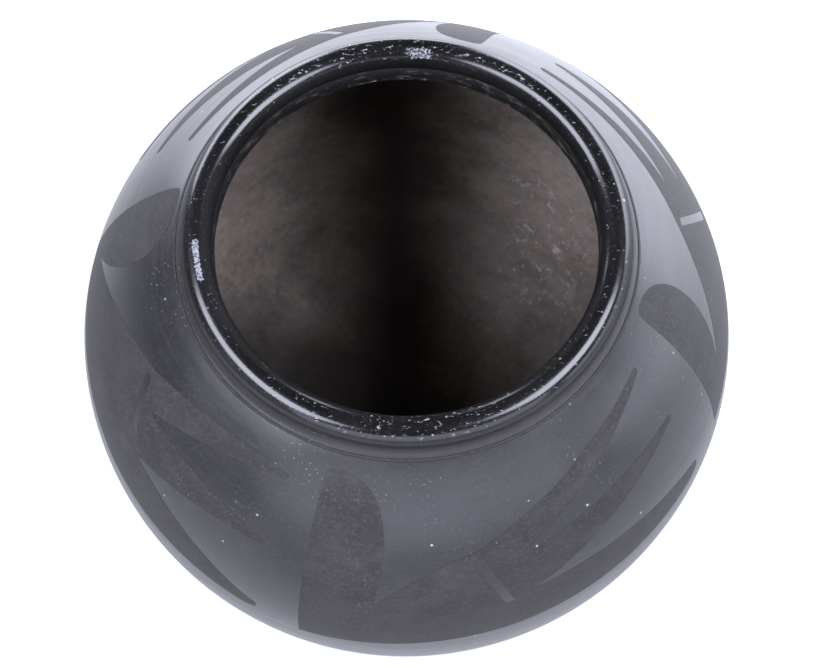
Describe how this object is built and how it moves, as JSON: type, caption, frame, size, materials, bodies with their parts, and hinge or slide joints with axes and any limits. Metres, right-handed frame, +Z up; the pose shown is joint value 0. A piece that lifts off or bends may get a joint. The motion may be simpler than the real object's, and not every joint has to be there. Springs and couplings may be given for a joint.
{
  "type": "pottery jar",
  "caption": "Round coil-built pottery jar with a wide rolled lip, burnished black slip over the outside and matte painted feathers round the shoulder.",
  "frame": {"origin": "centre of the resting face, on the surface that the jar stands on", "axes": "+Z up through the middle of the mouth, -Y towards the front of the picture, +X to its right"},
  "size_m": [0.2, 0.2002, 0.1629],
  "materials": {
    "fired_clay": "matte",
    "burnished_slip": "burnished satin gloss",
    "matte_slip": "matte"
  },
  "bodies": {
    "root": {"puki_base": "fired_clay", "wall_coil_1": "fired_clay", "wall_coil_2": "fired_clay", "wall_coil_3": "fired_clay", "wall_coil_4": "fired_clay", "wall_coil_5": "fired_clay", "wall_coil_6": "fired_clay", "wall_coil_7": "fired_clay", "wall_coil_8": "fired_clay", "wall_coil_9": "fired_clay", "neck_coil": "fired_clay", "rim_coil": "fired_clay", "burnished_slip": "burnished_slip", "framing_line": "matte_slip", "feathers_front": "matte_slip", "feathers_right": "matte_slip", "feathers_back": "matte_slip", "feathers_left": "matte_slip"}
  },
  "joints": []
}
